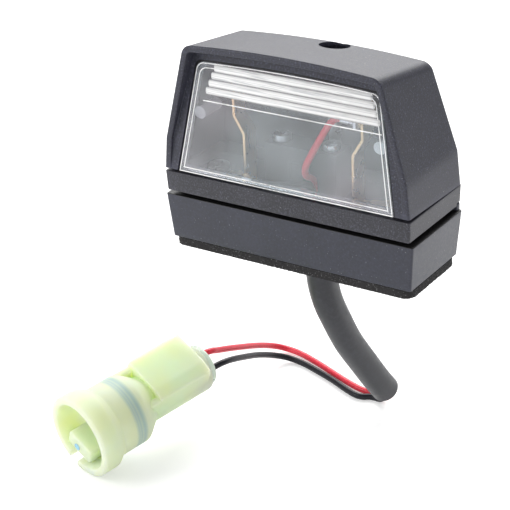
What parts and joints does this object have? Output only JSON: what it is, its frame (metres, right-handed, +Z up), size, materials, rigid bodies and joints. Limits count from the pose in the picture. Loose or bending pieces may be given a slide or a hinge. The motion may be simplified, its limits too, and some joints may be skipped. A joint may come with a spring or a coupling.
{
  "type": "number plate lamp",
  "caption": "Number plate lamp with a drafted hood, clear ribbed lens, festoon bulb, foam-backed plinth and a sleeved lead with a plug.",
  "frame": {"origin": "centre of the foam pad's underside, the face that lies on the vehicle's panel", "axes": "+Z up through the roof of the hood, +X along the lamp, the lens faces -Y"},
  "size_m": [0.0834, 0.0801, 0.1027],
  "materials": {
    "foam": "open-cell black foam with pale specks",
    "plinth_plastic": "satin dark grey moulding",
    "insert_brass": "bare",
    "seal_rubber": "matt",
    "tray_plastic": "fine sparked texture",
    "screw_steel": "zinc plated",
    "block_plastic": "plain moulding",
    "contact_brass": "copper-toned spring brass",
    "tinned_metal": "tinned",
    "bulb_glass": "clear",
    "filament_wire": "fine coiled wire",
    "red_insulation": "satin insulation",
    "black_insulation": "satin insulation",
    "lens_clear": "clear ribbed moulding",
    "hood_plastic": "fine sparked texture",
    "sleeve_vinyl": "smooth satin tube",
    "plug_nylon": "milky translucent nylon",
    "plug_seal_rubber": "soft silicone",
    "retainer_clear": "milky clear",
    "wire_seal_rubber": "soft silicone",
    "lock_blue": "plain moulding"
  },
  "bodies": {
    "root": {"foam_pad": "foam", "plinth": "plinth_plastic", "threaded_inserts": "insert_brass", "grommet": "seal_rubber", "base_seal": "seal_rubber", "tray": "tray_plastic", "tray_screws": "screw_steel", "lead_block": "block_plastic", "block_screws": "screw_steel", "contact_left": "contact_brass", "contact_right": "contact_brass", "contact_rivets": "insert_brass", "terminal_left": "tinned_metal", "terminal_right": "tinned_metal", "bulb_glass": "bulb_glass", "bulb_cap_left": "tinned_metal", "bulb_cap_right": "tinned_metal", "bulb_filament": "filament_wire", "inner_red_wire": "red_insulation", "inner_black_wire": "black_insulation", "lens": "lens_clear", "lens_seal": "seal_rubber", "hood": "hood_plastic", "cover_screw": "screw_steel", "cover_washer": "seal_rubber", "sleeve": "sleeve_vinyl", "red_wire": "red_insulation", "black_wire": "black_insulation", "plug_housing": "plug_nylon", "plug_seal": "plug_seal_rubber", "plug_retainer": "retainer_clear", "plug_pins": "tinned_metal", "wire_seals": "wire_seal_rubber", "plug_lock": "lock_blue"}
  },
  "joints": []
}
